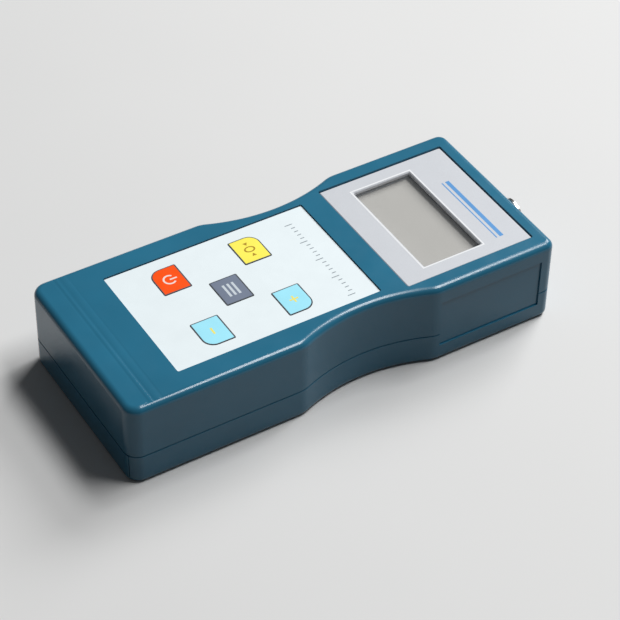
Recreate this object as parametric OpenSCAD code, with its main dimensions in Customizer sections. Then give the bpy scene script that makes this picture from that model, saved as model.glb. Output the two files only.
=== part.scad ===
// Hand-held coating thickness gauge with a membrane keypad, lying on its back.
// +X runs across the gauge to the right of the keypad, +Y along it towards the probe socket,
// +Z out of the front face. The origin is the middle of the back face. Millimetres.

/* [Housing] */
// Length of the housing
body_l = 161; // [158:0.5:180]
// Width of the housing
body_w = 69; // [68:0.5:80]
// Height of the housing from back to front
body_h = 32; // [31.5:0.5:42]
// Height of the seam between the two shells
seam_z = 11.5; // [10.5:0.25:13]
// Thickness of the side walls
wall = 2.4; // [2:0.1:2.8]
// Thickness of the front wall
front_t = 2.6; // [2.4:0.1:3.2]
// Thickness of the back wall
back_t = 2.2; // [1.8:0.1:2.6]
// Rounding of the front edge
front_edge_r = 2.5; // [1:0.1:3]
// Rounding of the back edge
back_edge_r = 2; // [1:0.1:2.4]
// Corner radius at the keypad end, seen from the front
foot_corner_r = 5; // [4:0.25:8]
// Corner radius at the socket end, seen from the front
head_corner_r = 3.5; // [3:0.25:7]
// Bevel of both shells along the seam
seam_bevel = 0.25; // [0.1:0.05:0.5]
// Height of the lip that centres the shells on each other
lip_h = 1.6; // [1:0.1:2.5]
// Thickness of the centring lip
lip_t = 1; // [0.8:0.1:1.2]
// Clearance round the centring lip
lip_gap = 0.12; // [0.05:0.01:0.3]

/* [Grip] */
// Length of the waist along each side, measured between its unblended ends
waist_l = 50; // [40:1:54]
// Depth of the waist
waist_d = 5.2; // [3:0.1:5.8]
// Middle of the waist, forward of the middle of the housing
waist_y = 8; // [6:0.5:12]
// Radius that blends the ends of the waist into the sides
waist_blend_r = 10; // [5:0.5:16]
// Depth of the thumb panels on the sides of the head
thumb_d = 0.5; // [0.2:0.05:0.8]
// Distance of a thumb panel from the socket end
thumb_end = 5.5; // [4:0.25:9]
// Distance of a thumb panel from the front face and from the back face
thumb_edge = 6.5; // [4:0.25:8]
// Width of the fine grooves across the keypad end
groove_w = 1.2; // [0.6:0.1:1.8]
// Depth of the fine grooves
groove_d = 0.16; // [0.08:0.02:0.3]
// Distance of the first fine groove from the keypad end
groove_end = 7.9; // [6.5:0.1:9]
// Distance from the first to the second fine groove
groove_step = 1.9; // [1.2:0.1:2.4]
// Distance from the second to the third fine groove
groove_wide_step = 2.9; // [1.2:0.1:3.4]

/* [Keypad] */
// Width of the printed keypad sheet
keypad_w = 50; // [46:0.5:51]
// Distance of the sheet from the keypad end of the housing
keypad_end = 22.5; // [18:0.5:25]
// Distance of the sheet from the display panel
keypad_space = 8.9; // [6:0.1:12]
// Corner radius of the sheet
keypad_r = 0.4; // [0.3:0.1:3]
// Thickness of the printed sheet
overlay_t = 0.4; // [0.3:0.05:0.6]
// Thickness of the spacer under it
spacer_t = 0.6; // [0.5:0.05:0.8]
// Thickness of the circuit film at the bottom
circuit_t = 0.3; // [0.2:0.05:0.4]
// Depth of the printed sheet below the front face
keypad_sink = 0.5; // [0.2:0.05:0.6]
// Clearance of the sheets in their recesses
sheet_gap = 0.3; // [0.1:0.05:0.5]
// Width of a key
key_w = 12.2; // [10:0.1:12.8]
// Length of a key
key_l = 10; // [8:0.1:12]
// Thickness of a key
key_t = 0.5; // [0.4:0.05:0.6]
// Radius of the outer corner of the four outer keys
key_round_r = 4; // [1:0.25:4.5]
// Radius of the other key corners
key_edge_r = 0.4; // [0.2:0.1:1]
// Clearance round a key
key_gap = 0.15; // [0.1:0.05:0.3]
// Height of a key above the printed sheet
key_proud = 0.15; // [0.1:0.05:0.25]
// Travel of a key
key_travel = 0.4; // [0.3:0.05:0.45]
// Distance across from the middle key to an outer key
key_pitch_x = 14.2; // [13.6:0.1:16]
// Distance along from the middle key to an outer key
key_pitch_y = 15.05; // [12:0.1:18]
// Distance of the middle key from the sheet's edge
key_mid = 33.5; // [28:0.5:40]
// Radius of a snap dome
dome_r = 4; // [2.5:0.1:4.5]
// Width of the circuit film's tail
tail_w = 10; // [6:0.5:16]
// Distance of the tail from the sheet's forward edge
tail_end = 4; // [3:0.25:8]

/* [Display] */
// Width of the display panel
panel_w = 55.7; // [54:0.1:60]
// Length of the display panel
panel_l = 49.3; // [46:0.1:52]
// Distance of the panel from the socket end of the housing
panel_end = 5.5; // [4:0.25:8]
// Corner radius of the panel
panel_r = 0.5; // [0.4:0.1:3]
// Thickness of the panel
panel_t = 1.4; // [1.1:0.1:1.8]
// Depth of the panel's face below the front face
panel_sink = 0.4; // [0:0.05:0.6]
// Bevel of the panel's outer edge
panel_bevel = 0.35; // [0.1:0.05:0.6]
// Width of the display opening
window_w = 43.7; // [36:0.1:45]
// Length of the display opening
window_l = 22.5; // [18:0.1:23.5]
// Distance of the opening from the panel's edge on the keypad side
window_end = 10.2; // [8:0.1:14]
// Bevel round the opening
rim_bevel = 0.4; // [0.2:0.05:1]
// Thickness of the clear window
clear_t = 1.5; // [1:0.1:2]
// Overlap of the clear window beyond the opening on each side
clear_lap = 1.4; // [1:0.1:1.8]
// Width of the display glass
lcd_w = 48; // [47.5:0.1:50]
// Length of the display glass
lcd_l = 27; // [26.5:0.1:28]
// Thickness of the display glass
lcd_t = 2.8; // [2:0.1:3.2]
// Width of the contact ledge along the display glass
lcd_ledge = 1.6; // [1:0.1:1.8]
// Height of the display glass above the board
lcd_stand = 2.4; // [1.8:0.1:3]
// Wall of the display holder
holder_wall = 1.2; // [1:0.1:1.4]
// Clearance of the display glass in its holder and under the clear window
lcd_gap = 0.2; // [0.1:0.05:0.3]

/* [Board] */
// Thickness of the circuit board
board_t = 1.6; // [1.2:0.1:2]
// Distance of the board from the housing's sides
board_gap = 1.4; // [1:0.1:2.5]
// Radius of the posts that carry the board
post_r = 2.6; // [2.2:0.1:2.7]
// Distance of the posts from the middle line
post_x = 19; // [15:0.5:20]
// Distance of the posts from the board's ends
post_end = 3; // [2.8:0.1:3.2]
// Radius of the board screws
board_screw_r = 1; // [0.8:0.05:1.2]
// Length of the board screws under the head
board_screw_l = 5.5; // [4.5:0.25:6.5]
// Height of the board screws' heads
board_screw_head_h = 1.3; // [1:0.1:1.6]
// Width and length of the processor
processor_w = 14; // [10:0.5:16]
// Thickness of the processor
processor_h = 1.8; // [1.2:0.1:2.4]
// Distance of the processor from the board's end at the keypad
processor_end = 36; // [32:0.5:37]
// Width of the amplifier
amplifier_w = 6; // [4:0.5:7]
// Length of the amplifier
amplifier_l = 9; // [6:0.5:11]
// Thickness of the amplifier
amplifier_h = 1.6; // [1.2:0.1:2.4]
// Distance of the amplifier from the middle line
amplifier_x = 12; // [12:0.5:16]
// Distance of the amplifier from the board's end at the keypad
amplifier_end = 45; // [40:0.5:50]
// Width of the crystal's can
crystal_w = 4.5; // [4:0.1:5]
// Length of the crystal's can
crystal_l = 11; // [9:0.5:12]
// Height of the crystal's can
crystal_h = 3.5; // [2.5:0.1:4]
// Distance of the crystal from the board's end at the keypad
crystal_end = 12; // [9:0.5:14]
// Radius of a capacitor
capacitor_r = 2.5; // [2:0.1:3]
// Height of a capacitor
capacitor_h = 6; // [4:0.25:8]
// Distance of the outer capacitors from the middle line
capacitor_out = 14; // [13.5:0.5:20]
// Distance of the inner capacitor from the middle line
capacitor_in = 7; // [5:0.5:7]
// Distance of the capacitors from the board's end at the keypad
capacitor_end = 20; // [14:0.5:24]
// Radius of the buzzer
buzzer_r = 6; // [4.5:0.1:6.5]
// Height of the buzzer
buzzer_h = 5; // [3:0.25:6]
// Radius of the buzzer's sound hole
sound_hole_r = 1; // [0.5:0.1:2]
// Distance of the buzzer from the middle line
buzzer_x = 16; // [16:0.5:20]
// Distance of the buzzer from the board's end at the keypad
buzzer_end = 48; // [40:0.5:52]
// Height of the keypad's connector
connector_h = 3; // [2:0.1:4]
// Wall of the keypad's connector
connector_wall = 1.8; // [1:0.1:2.4]
// Width of the header for the socket's wires
header_w = 10; // [8:0.5:14]
// Length of the header
header_l = 4; // [3:0.25:5]
// Height of the header
header_h = 3.5; // [3:0.1:5]

/* [Battery bay] */
// Diameter of a cell
cell_d = 14.5; // [14:0.1:14.6]
// Length of a cell over its positive button
cell_l = 50.5; // [49.5:0.1:51]
// Clearance round each cell
cell_gap = 0.3; // [0.15:0.05:0.35]
// Length of a fitted cell spring
spring_l = 4.4; // [4:0.1:6]
// Radius of the spring wire
wire_r = 0.45; // [0.3:0.05:0.6]
// Thickness of the contact strips
contact_t = 0.5; // [0.3:0.05:0.6]
// Height and width of a contact's face
contact_w = 11; // [9:0.5:12]
// Thickness of the bay's walls
bay_wall = 1.3; // [1:0.1:1.4]
// Thickness of the battery door
door_t = 2.4; // [2.2:0.1:3]
// Depth of the door below the back face
door_sink = 0.2; // [0.1:0.05:0.4]
// Clearance round the door
door_gap = 0.3; // [0.2:0.05:0.4]
// Width of the tongues along the door
tongue_w = 1.3; // [1:0.1:1.4]
// Thickness of the tongues
tongue_t = 0.9; // [0.7:0.05:1]
// Clearance of the tongues in their grooves
tongue_gap = 0.25; // [0.15:0.05:0.35]
// Number of finger grooves on the door
ridge_n = 5; // [3:1:8]
// Length of a finger groove
ridge_l = 20; // [12:1:40]
// Distance between finger grooves
ridge_pitch = 2.4; // [2:0.1:3]
// Depth of a finger groove
ridge_d = 0.45; // [0.2:0.05:0.8]
// Distance of the finger grooves from the inner end of the door
ridge_end = 8; // [6:0.5:14]

/* [Probe socket] */
// Height of the socket's axis above the back
socket_z = 16; // [15:0.25:17]
// Radius over the socket's thread
socket_r = 6; // [5:0.1:6.5]
// Length of the socket outside the housing
socket_out = 8; // [6:0.25:11]
// Length of the socket inside the housing's wall
socket_in = 7; // [5:0.25:7.5]
// Clearance of the socket in the housing's wall
socket_gap = 0.1; // [0.05:0.05:0.3]
// Radius of the plug's hole
plug_r = 4.6; // [4.2:0.1:4.8]
// Depth of the plug's hole
plug_l = 6; // [5:0.25:8]
// Step from the plug's hole down to the insert's hole
insert_step = 0.4; // [0.2:0.05:0.5]
// Length of the insulating insert
insert_l = 4; // [3:0.25:5]
// Radius of the flange outside
flange_r = 8; // [7.4:0.1:9]
// Thickness of the flange
flange_t = 1.5; // [1:0.1:2]
// Width of the nut across its flats
nut_af = 15; // [14:0.5:16]
// Thickness of the nut
nut_t = 2.5; // [2:0.25:3]
// Radius of the circle of contacts
contact_circle_r = 2.6; // [2.2:0.1:2.8]
// Radius of a contact
contact_r = 0.6; // [0.4:0.05:0.7]
// Radius of the hole in a contact's end
pin_hole_r = 0.36; // [0.2:0.02:0.36]

/* [Case screws] */
// Radius of the case screws
screw_r = 1.5; // [1.2:0.05:1.6]
// Length of the case screws under the head
screw_l = 14; // [11:0.5:16]
// Radius of the screw heads
screw_head_r = 2.8; // [2.4:0.05:2.9]
// Height of the screw heads
screw_head_h = 2; // [1.5:0.1:2.5]
// Depth of the screw heads' seats below the back face
seat_l = 6; // [4:0.25:7]
// Clearance round the screw heads
seat_gap = 0.3; // [0.2:0.05:0.5]
// Wall of the screw bosses round the seats
boss_wall = 1.3; // [1:0.1:1.4]
// Distance of the case screws from the middle line
screw_x = 24.5; // [21:0.25:25]
// Clearance of a screw in the piece that it passes through
screw_gap = 0.2; // [0.1:0.05:0.4]
// Clearance of a screw in the hole that it is driven into
pilot_gap = 0.05; // [0.02:0.01:0.1]
// Free depth of such a hole beyond its screw
pilot_end = 0.3; // [0.2:0.1:1]

/* [Hidden] */

$fn = 48;
// How far cutters reach past what they cut, and how far bosses reach into their wall
past = 1;
root_lap = 0.5;
// Least radius of a corner inside the walls
least_r = 0.3;
// Clearance of pieces that are pushed into each other
push_gap = 0.05;
corner_steps = 8;
waist_steps = 24;
blend_steps = 4;
edge_steps = 8;

foot_y = -body_l / 2;
head_y = body_l / 2;
waist_r = (pow(waist_l / 2, 2) + pow(waist_d, 2)) / (2 * waist_d);
waist_x = body_w / 2 - waist_d + waist_r;
blend_x = body_w / 2 - waist_blend_r;
blend_a = acos((waist_x - blend_x) / (waist_r + waist_blend_r));
blend_y = (waist_r + waist_blend_r) * sin(blend_a);
waist_head_y = waist_y + blend_y;
groove_y = [for (d = [0, groove_step, groove_step + groove_wide_step]) foot_y + groove_end + d];
ceiling_z = body_h - front_t;

// Places of the display panel and the keypad sheet
panel_y1 = head_y - panel_end;
panel_y0 = panel_y1 - panel_l;
keypad_y0 = foot_y + keypad_end;
keypad_y1 = panel_y0 - keypad_space;
keypad_l = keypad_y1 - keypad_y0;

// Keypad stack, from the front downwards
overlay_z = body_h - keypad_sink - overlay_t;
spacer_z = overlay_z - spacer_t;
circuit_z = spacer_z - circuit_t;
key_z = overlay_z + overlay_t + key_proud - key_t;
dome_clear = 0.05;
dome_top_r = dome_r / 2;
dome_h = key_z - key_travel - dome_clear - spacer_z;
KEY_POWER = [-1, -1];
KEY_ZERO = [-1, 1];
KEY_MODE = [0, 0];
KEY_PLUS = [1, 1];
KEY_MINUS = [1, -1];
KEYS = [KEY_POWER, KEY_ZERO, KEY_MODE, KEY_PLUS, KEY_MINUS];
tail_y = keypad_y1 - tail_end;
tail_gap = 0.5;
tail_fit = 0.2;

// Display stack, from the front downwards
panel_z = body_h - panel_sink - panel_t;
window_y = panel_y0 + window_end + window_l / 2;
clear_z = panel_z - clear_t;
lcd_z = min(clear_z, ceiling_z) - lcd_gap - lcd_t;
holder_w = lcd_w + 2 * (lcd_gap + holder_wall);
holder_l = lcd_l + 2 * (lcd_gap + holder_wall);
strip_w = 2.2;

// Battery bay and door
cell_pitch = cell_d + cell_gap;
cell_x = [for (i = [0:3]) (i - 1.5) * cell_pitch];
bay_hw = 1.5 * cell_pitch + cell_d / 2 + cell_gap;
door_top = door_sink + door_t;
cell_z = door_top + cell_gap + cell_d / 2;
bay_top = cell_z + cell_d / 2 + cell_gap + bay_wall;
bay_clear = 0.5;
bay_y0 = foot_y + wall + bay_clear + bay_wall;
nub_gap = 0.1;
bay_y1 = bay_y0 + 2 * contact_t + cell_l + nub_gap + spring_l;
door_y1 = bay_y1 + bay_wall;
groove_x = bay_hw + tongue_w + tongue_gap;
cap_hw = groove_x + door_gap;
tongue_z = door_top - tongue_gap - tongue_t;
tab_w = 4;
tab_x = 1.5 * cell_pitch - contact_w / 2 + tab_w / 2;
tab_rise = 3.5;
tab_z = cell_z + tab_rise;
tab_out = 1.5;
tab_gap = 0.2;

// Case screws and their bosses
seat_r = screw_head_r + seat_gap;
boss_r = seat_r + boss_wall;
boss_clear = 0.6;
screw_hole_r = screw_r + screw_gap;
pilot_r = screw_r + pilot_gap;
foot_boss_y = door_y1 + door_gap + boss_clear + boss_r;
head_boss_y = head_y - wall - boss_clear - boss_r;
SCREWS = [for (x = [-screw_x, screw_x], y = [foot_boss_y, head_boss_y]) [x, y]];

// Circuit board, hung from posts under the front wall
board_z1 = lcd_z - lcd_stand;
board_z = board_z1 - board_t;
board_clear = 0.6;
board_y0 = foot_boss_y + boss_r + board_clear;
board_y1 = head_boss_y - boss_r - board_clear;
board_waist_hw = body_w / 2 - waist_d - wall - board_gap;
board_head_hw = body_w / 2 - wall - thumb_d - board_gap;
PROCESSOR_AT = [0, board_y0 + processor_end];
AMPLIFIER_AT = [-amplifier_x, board_y0 + amplifier_end];
BUZZER_AT = [buzzer_x, board_y0 + buzzer_end];
crystal_y = board_y0 + crystal_end;
capacitor_x = [-capacitor_out, -capacitor_in, capacitor_out];
capacitor_y = board_y0 + capacitor_end;
tail_z = board_z1 + 1;
POSTS = [for (x = [-post_x, post_x], y = [board_y0 + post_end, board_y1 - post_end]) [x, y]];

// Probe socket, along +Y
socket_y0 = head_y - wall - socket_in;
socket_y1 = head_y + socket_out;
plug_y = socket_y1 - plug_l;
insert_r = plug_r - insert_step;
contact_tail = 2.5;
lead_r = 0.8;
fine_lead_r = 0.5;
lead_split = 0.8;
lead_touch = 0.1;
header_y = board_y1 - 2 * post_end - post_r - header_l;

// Points of an arc about [cx, cy]
function arc(cx, cy, r, a0, a1, n) =
    [for (i = [0:n]) let (a = a0 + (a1 - a0) * i / n) [cx + r * cos(a), cy + r * sin(a)]];

// Points of an arc without its two ends
function open_arc(cx, cy, r, a0, a1, n) =
    let (points = arc(cx, cy, r, a0, a1, n))
    [for (i = [1:n - 1]) points[i]];

// Outline of the housing seen from the front, moved inwards by inset
function outline(inset) =
    let (hw = body_w / 2 - inset)
    let (hl = body_l / 2 - inset)
    let (rf = max(foot_corner_r - inset, least_r))
    let (rh = max(head_corner_r - inset, least_r))
    let (rw = waist_r + inset)
    let (rb = waist_blend_r - inset)
    concat(
        arc(hw - rf, rf - hl, rf, -90, 0, corner_steps),
        arc(blend_x, waist_y - blend_y, rb, 0, blend_a, blend_steps),
        open_arc(waist_x, waist_y, rw, 180 + blend_a, 180 - blend_a, waist_steps),
        arc(blend_x, waist_y + blend_y, rb, -blend_a, 0, blend_steps),
        arc(hw - rh, hl - rh, rh, 0, 90, corner_steps),
        arc(rh - hw, hl - rh, rh, 90, 180, corner_steps),
        arc(-blend_x, waist_y + blend_y, rb, 180, 180 + blend_a, blend_steps),
        open_arc(-waist_x, waist_y, rw, blend_a, -blend_a, waist_steps),
        arc(-blend_x, waist_y - blend_y, rb, 180 - blend_a, 180, blend_steps),
        arc(rf - hw, rf - hl, rf, 180, 270, corner_steps)
    );

// Rectangle with round corners
function round_rect(w, l, r) =
    concat(
        arc(w / 2 - r, r - l / 2, r, -90, 0, corner_steps),
        arc(w / 2 - r, l / 2 - r, r, 0, 90, corner_steps),
        arc(r - w / 2, l / 2 - r, r, 90, 180, corner_steps),
        arc(r - w / 2, r - l / 2, r, 180, 270, corner_steps)
    );

// Outline of a key, with its large radius at the corner that points away from the middle key
function key_outline(key, grow) =
    [for (q = [[1, -1, -90], [1, 1, 0], [-1, 1, 90], [-1, -1, 180]])
        let (r = (q[0] == key[0] && q[1] == key[1] ? key_round_r : key_edge_r) + grow)
        let (cx = q[0] * (key_w / 2 + grow - r))
        let (cy = q[1] * (key_l / 2 + grow - r))
        each arc(cx, cy, r, q[2], q[2] + 90, corner_steps)];

function key_place(key) = [key[0] * key_pitch_x, keypad_y0 + key_mid + key[1] * key_pitch_y];

// Point on a smooth curve through four control points
function curve(p, t) =
    pow(1 - t, 3) * p[0] + 3 * t * pow(1 - t, 2) * p[1] + 3 * t * t * (1 - t) * p[2] + pow(t, 3) * p[3];

// Solid between rings of equal and even point counts, closed at both ends by strips across the ring
module skin(rings) {
    n = len(rings[0]);
    last = len(rings) - 1;
    polyhedron(
        points = [for (ring = rings) each ring],
        faces = concat(
            [for (i = [0:n / 2 - 2]) [i, i + 1, n - 2 - i, n - 1 - i]],
            [for (k = [0:last - 1], i = [0:n - 1])
                [k * n + i, (k + 1) * n + i, (k + 1) * n + (i + 1) % n]],
            [for (k = [0:last - 1], i = [0:n - 1])
                [k * n + i, (k + 1) * n + (i + 1) % n, k * n + (i + 1) % n]],
            [for (i = [0:n / 2 - 2]) [for (j = [n - 1 - i, n - 2 - i, i + 1, i]) last * n + j]]
        )
    );
}

// Housing form between levels, each given as [inset, z]
module loft(levels) {
    skin([for (v = levels) [for (p = outline(v[0])) [p[0], p[1], v[1]]]]);
}

// Straight block with the housing's outline
module prism(inset, z0, z1) {
    translate([0, 0, z0])
        linear_extrude(z1 - z0)
            polygon(outline(inset));
}

// Block between two corners
module block(a, b) {
    translate(a)
        cube(b - a);
}

// Plate with round corners, standing on z0
module plate(w, l, r, y, z0, z1) {
    translate([0, y, z0])
        linear_extrude(z1 - z0)
            polygon(round_rect(w, l, r));
}

// Round bar along +Y
module bar_y(r, x, y0, y1, z) {
    translate([x, y0, z])
        rotate([-90, 0, 0])
            cylinder(r = r, h = y1 - y0);
}

// Wire of radius r along points that stay in planes of constant X
module wire(points, r) {
    last = len(points) - 1;
    sides = 8;
    u = [1, 0, 0];
    skin([for (i = [0:last])
        let (d = points[min(i + 1, last)] - points[max(i - 1, 0)])
        let (v = cross(d / norm(d), u))
        [for (s = [0:sides - 1])
            let (a = -s * 360 / sides)
            points[i] + r * (cos(a) * u + sin(a) * v)]]);
}

// Thumb panels on both sides of the head
module thumb_panels() {
    for (s = [-1, 1])
        translate([s * (body_w / 2 - thumb_d + past), 0, 0])
            block([-past, waist_head_y, thumb_edge], [past, head_y - thumb_end, body_h - thumb_edge]);
}

module socket_hole() {
    bar_y(socket_r + socket_gap, 0, head_y - wall - past, head_y + past, socket_z);
}

module front_levels() {
    loft(concat(
        [[seam_bevel, seam_z], [0, seam_z + seam_bevel]],
        [for (i = [0:edge_steps])
            let (a = 90 * i / edge_steps)
            [front_edge_r * (1 - cos(a)), body_h - front_edge_r * (1 - sin(a))]]
    ));
}

module rear_levels() {
    loft(concat(
        [for (i = [0:edge_steps])
            let (a = 90 * i / edge_steps)
            [back_edge_r * (1 - sin(a)), back_edge_r * (1 - cos(a))]],
        [[0, seam_z - seam_bevel], [seam_bevel, seam_z]]
    ));
}

// Front half of the housing, with the recesses for keypad and display
module front_shell() {
    color("#2d6e91")
        difference() {
            union() {
                difference() {
                    front_levels();
                    prism(wall, seam_z - past, ceiling_z);
                    prism(wall - lip_t - lip_gap, seam_z - past, seam_z + lip_h + lip_gap);
                }
                for (p = SCREWS)
                    translate([p[0], p[1], seam_z])
                        cylinder(r = pilot_r + boss_wall, h = ceiling_z + root_lap - seam_z);
                for (p = POSTS)
                    translate([p[0], p[1], board_z1])
                        cylinder(r = post_r, h = ceiling_z + root_lap - board_z1);
            }
            plate(keypad_w + 2 * sheet_gap, keypad_l + 2 * sheet_gap, keypad_r + sheet_gap,
                (keypad_y0 + keypad_y1) / 2, circuit_z, body_h + past);
            block([-tail_w / 2 - tail_gap, tail_y - tail_gap, ceiling_z - past],
                [tail_w / 2 + tail_gap, tail_y + circuit_t + tail_gap, body_h]);
            plate(panel_w + 2 * sheet_gap, panel_l + 2 * sheet_gap, panel_r + sheet_gap,
                (panel_y0 + panel_y1) / 2, panel_z, body_h + past);
            plate(window_w + 2 * (clear_lap + sheet_gap), window_l + 2 * (clear_lap + sheet_gap), panel_r,
                window_y, ceiling_z - past, body_h);
            for (y = groove_y)
                translate([-body_w / 2, y, body_h])
                    rotate([90, 0, 90])
                        linear_extrude(body_w)
                            polygon([[-groove_w / 2, 0], [0, -groove_d], [groove_w / 2, 0], [0, past]]);
            for (p = SCREWS)
                translate([p[0], p[1], seam_z - past])
                    cylinder(r = pilot_r, h = past + seat_l + screw_l + pilot_end - seam_z);
            for (p = POSTS)
                translate([p[0], p[1], board_z1 - past])
                    cylinder(r = board_screw_r + pilot_gap, h = past + board_screw_l + pilot_end - board_t);
            thumb_panels();
            socket_hole();
        }
}

// Trough for the four cells, open towards the door
module bay_hollow() {
    block([-bay_hw, bay_y0, -past], [bay_hw, bay_y1, cell_z]);
    for (x = cell_x)
        bar_y(cell_d / 2 + cell_gap, x, bay_y0, bay_y1, cell_z);
    for (y = [bay_y0, bay_y1 - contact_t - cell_gap])
        block([-bay_hw, y, 0], [bay_hw, y + contact_t + cell_gap, cell_z + contact_w / 2 + cell_gap]);
}

// Way of the door through the back and the keypad end
module door_way() {
    way_y = foot_y - past;
    way_y1 = door_y1 + door_gap;
    block([-bay_hw - door_gap, way_y, -past], [bay_hw + door_gap, way_y1, door_top + door_gap]);
    block([-groove_x, way_y, tongue_z - tongue_gap], [groove_x, way_y1, door_top]);
    block([-cap_hw - door_gap, way_y, -past],
        [cap_hw + door_gap, foot_y + wall + door_gap, seam_z + lip_h + past]);
}

// Back half of the housing, with the battery bay and the door's rails
module rear_shell() {
    color("#235a78")
        difference() {
            union() {
                difference() {
                    union() {
                        rear_levels();
                        prism(wall - lip_t, seam_z - root_lap, seam_z + lip_h);
                    }
                    prism(wall, back_t, seam_z + lip_h + past);
                }
                intersection() {
                    prism(wall / 2, back_t - root_lap, seam_z - lip_h);
                    block([-body_w, bay_y0 - bay_wall, 0], [body_w, door_y1, seam_z]);
                }
                intersection() {
                    prism(wall + bay_clear, back_t - root_lap, bay_top);
                    block([-bay_hw - bay_wall, foot_y, 0], [bay_hw + bay_wall, door_y1, bay_top + past]);
                }
                for (p = SCREWS)
                    translate([p[0], p[1], back_t - root_lap])
                        cylinder(r = boss_r, h = seam_z - back_t + root_lap);
            }
            bay_hollow();
            door_way();
            for (s = [-1, 1])
                block([s * tab_x - tab_w / 2 - tab_gap, bay_y1 - past, tab_z - tab_gap],
                    [s * tab_x + tab_w / 2 + tab_gap, door_y1 + past, tab_z + contact_t + tab_gap]);
            for (p = SCREWS)
                translate([p[0], p[1], -past]) {
                    cylinder(r = seat_r, h = seat_l + past);
                    cylinder(r = screw_hole_r, h = seam_z + 2 * past);
                }
            thumb_panels();
            socket_hole();
        }
}

// Sliding cover of the battery bay; its cap closes the keypad end below the seam
module battery_door() {
    color("#1f5370")
        union() {
            difference() {
                intersection() {
                    rear_levels();
                    union() {
                        block([-bay_hw, foot_y - past, door_sink], [bay_hw, door_y1, door_top]);
                        block([-cap_hw, foot_y - past, door_sink],
                            [cap_hw, foot_y + wall, seam_z - door_gap]);
                    }
                }
                for (i = [0:ridge_n - 1])
                    translate([0, door_y1 - ridge_end - i * ridge_pitch, door_sink])
                        block([-ridge_l / 2, -ridge_pitch / 2, -past], [ridge_l / 2, 0, ridge_d]);
            }
            for (s = [0, 1])
                mirror([s, 0, 0])
                    block([bay_hw - root_lap, foot_y + wall, tongue_z],
                        [bay_hw + tongue_w, door_y1, tongue_z + tongue_t]);
        }
}

// Silver frame round the display, bevelled outside and round its opening
module display_panel() {
    y = (panel_y0 + panel_y1) / 2;
    z1 = panel_z + panel_t;
    color("#d4d9df")
        difference() {
            hull() {
                plate(panel_w, panel_l, panel_r, y, panel_z, z1 - panel_bevel);
                plate(panel_w - 2 * panel_bevel, panel_l - 2 * panel_bevel, panel_r, y, panel_z, z1);
            }
            plate(window_w, window_l, panel_r, window_y, panel_z - past, z1 + past);
            hull() {
                plate(window_w, window_l, panel_r, window_y, z1 - rim_bevel, z1 + past);
                plate(window_w + 2 * rim_bevel, window_l + 2 * rim_bevel, panel_r, window_y, z1, z1 + past);
            }
        }
}

// Clear sheet glued under the frame
module display_window() {
    color([0.8, 0.88, 0.9, 0.35])
        plate(window_w + 2 * clear_lap, window_l + 2 * clear_lap, panel_r, window_y, clear_z, panel_z);
}

// Display glass: a rear plate with a contact ledge, and a shorter front plate
module lcd_glass() {
    color("#b8b7b0")
        union() {
            block([-lcd_w / 2, window_y - lcd_l / 2, lcd_z],
                [lcd_w / 2, window_y + lcd_l / 2, lcd_z + lcd_t / 2]);
            block([-lcd_w / 2, window_y - lcd_l / 2 + lcd_ledge, lcd_z],
                [lcd_w / 2, window_y + lcd_l / 2, lcd_z + lcd_t]);
        }
}

// Holder that stands on the board and carries the display glass at its short sides
module lcd_frame() {
    hw = lcd_w / 2 + lcd_gap;
    hl = lcd_l / 2 + lcd_gap;
    color("#3a3d40")
        difference() {
            block([-holder_w / 2, window_y - holder_l / 2, board_z1],
                [holder_w / 2, window_y + holder_l / 2, lcd_z + lcd_t]);
            block([-hw, window_y - hl, lcd_z], [hw, window_y + hl, lcd_z + lcd_t + past]);
            block([strip_w - hw, window_y - hl, board_z1 - past],
                [hw - strip_w, window_y + hl, lcd_z + past]);
        }
}

// Conductive rubber strips from the display glass to the board
module lcd_strips() {
    hw = lcd_w / 2 - 2 * strip_w;
    color("#c9bca6")
        for (s = [-1, 1])
            block([-hw, window_y + s * (lcd_l / 2 - strip_w / 2) - strip_w / 2, board_z1],
                [hw, window_y + s * (lcd_l / 2 - strip_w / 2) + strip_w / 2, lcd_z]);
}

// Sheet of the keypad with the key places left open
module keypad_sheet(z0, z1) {
    translate([0, 0, z0])
        linear_extrude(z1 - z0)
            difference() {
                translate([0, (keypad_y0 + keypad_y1) / 2])
                    polygon(round_rect(keypad_w, keypad_l, keypad_r));
                for (key = KEYS)
                    translate(key_place(key))
                        polygon(key_outline(key, key_gap));
            }
}

module keypad_overlay() {
    color("#e9f2f5")
        keypad_sheet(overlay_z, overlay_z + overlay_t);
}

module keypad_spacer() {
    color("#d8d8d0")
        keypad_sheet(spacer_z, overlay_z);
}

// Circuit film with the tail that goes down to the board
module keypad_circuit() {
    color("#c8a46a")
        union() {
            plate(keypad_w, keypad_l, keypad_r, (keypad_y0 + keypad_y1) / 2, circuit_z, spacer_z);
            block([-tail_w / 2, tail_y, tail_z],
                [tail_w / 2, tail_y + circuit_t, circuit_z + circuit_t / 2]);
        }
}

module switch_domes() {
    color("silver")
        for (key = KEYS)
            translate([key_place(key)[0], key_place(key)[1], spacer_z])
                cylinder(r1 = dome_r, r2 = dome_top_r, h = dome_h);
}

// Flat key of the membrane keypad
module membrane_key(key, tint) {
    color(tint)
        translate([key_place(key)[0], key_place(key)[1], key_z])
            linear_extrude(key_t)
                polygon(key_outline(key, 0));
}

module key_power() {
    membrane_key(KEY_POWER, "#ff4b0a");
}

module key_zero() {
    membrane_key(KEY_ZERO, "#ffeb3c");
}

module key_mode() {
    membrane_key(KEY_MODE, "#7d879b");
}

module key_plus() {
    membrane_key(KEY_PLUS, "#8ce6fa");
}

module key_minus() {
    membrane_key(KEY_MINUS, "#8ce6fa");
}

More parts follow.
